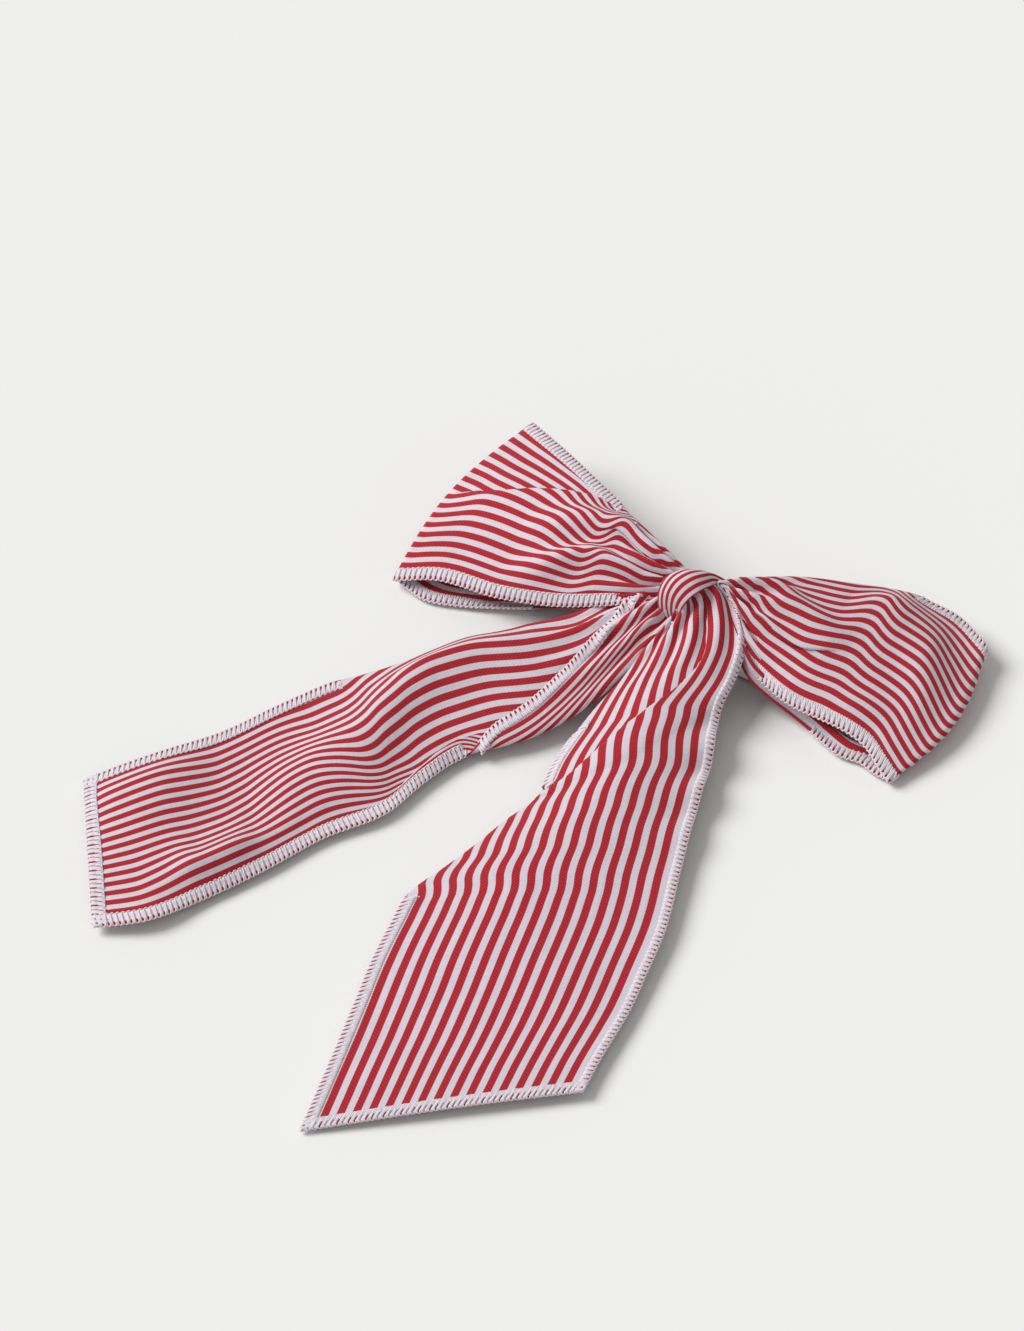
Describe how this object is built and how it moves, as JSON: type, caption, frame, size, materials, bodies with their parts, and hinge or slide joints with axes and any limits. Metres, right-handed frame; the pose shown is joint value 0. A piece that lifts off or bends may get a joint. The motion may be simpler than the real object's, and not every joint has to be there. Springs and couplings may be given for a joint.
{
  "type": "hair bow clip",
  "caption": "Striped cloth hair bow with two loops, two long tails and a knotted middle on a spring barrette.",
  "frame": {"origin": "middle of the clasp arm's flat underside, the face that lies against the head", "axes": "+X along the bow from the left loop to the right loop, tails towards -Y, +Z out of the hair"},
  "size_m": [0.2143, 0.2719, 0.0308],
  "materials": {
    "striped_cloth": "red and white yarn-dyed stripes, matt plain weave",
    "overlock_thread": "white overlock stitching",
    "sewing_thread": "white thread",
    "felt": "white felt",
    "clip_steel": "nickel-plated spring steel"
  },
  "bodies": {
    "bow_and_clip": {"base_plate": "clip_steel", "hinge_pin": "clip_steel", "bar_rivet": "clip_steel", "left_end_stitch": "sewing_thread", "right_end_stitch": "sewing_thread", "backing_patch": "felt", "knot_core": "striped_cloth", "binding_thread": "sewing_thread", "knot_wrap": "striped_cloth", "left_tail_gather": "striped_cloth"},
    "clasp_arm": {"clasp_arm": "clip_steel"},
    "front_release_prong": {"front_release_prong": "clip_steel"},
    "back_release_prong": {"back_release_prong": "clip_steel"},
    "tension_bar": {"tension_bar": "clip_steel"},
    "left_loop": {"left_loop": "striped_cloth", "left_loop_back_overlock": "overlock_thread", "left_loop_front_overlock": "overlock_thread"},
    "right_loop": {"right_loop": "striped_cloth", "right_loop_back_overlock": "overlock_thread", "right_loop_front_overlock": "overlock_thread"},
    "left_tail": {"left_tail": "striped_cloth", "left_tail_overlock": "overlock_thread"},
    "front_tail": {"front_tail": "striped_cloth", "front_tail_overlock": "overlock_thread"}
  },
  "joints": [
    {"name": "left_loop_lift", "type": "hinge", "parent": "bow_and_clip", "child": "left_loop", "pos_m": [-0.01604, 0.0015, 0.027], "axis": [0, 1, 0], "range_deg": [0, 30]},
    {"name": "right_loop_lift", "type": "hinge", "parent": "bow_and_clip", "child": "right_loop", "pos_m": [0.01604, 0.0015, 0.027], "axis": [0, -1, 0], "range_deg": [0, 30]},
    {"name": "left_tail_swing", "type": "hinge", "parent": "bow_and_clip", "child": "left_tail", "pos_m": [-0.035, -0.01875, 0.00575], "axis": [-0.9835, -0.1581, -0.0878], "range_deg": [-25, 45]},
    {"name": "front_tail_swing", "type": "hinge", "parent": "bow_and_clip", "child": "front_tail", "pos_m": [0.00375, -0.018, 0.012], "axis": [-0.9909, 0, -0.1344], "range_deg": [-25, 45]},
    {"name": "clasp_open", "type": "hinge", "parent": "bow_and_clip", "child": "clasp_arm", "pos_m": [0.027, 0, 0.0033], "axis": [0, -1, 0], "range_deg": [0, 70]},
    {"name": "front_prong_pinch", "type": "hinge", "parent": "bow_and_clip", "child": "front_release_prong", "pos_m": [-0.027, -0.00305, 0.0113], "axis": [1, 0, 0], "range_deg": [0, 6], "stiffness_Nm_per_rad": 0.05},
    {"name": "back_prong_pinch", "type": "hinge", "parent": "bow_and_clip", "child": "back_release_prong", "pos_m": [-0.027, 0.00305, 0.0113], "axis": [-1, 0, 0], "range_deg": [0, 6], "stiffness_Nm_per_rad": 0.05},
    {"name": "tension_bar_flex", "type": "hinge", "parent": "bow_and_clip", "child": "tension_bar", "pos_m": [0.019, 0, 0.01105], "axis": [0, 1, 0], "range_deg": [0, 1.5], "stiffness_Nm_per_rad": 0.3}
  ]
}
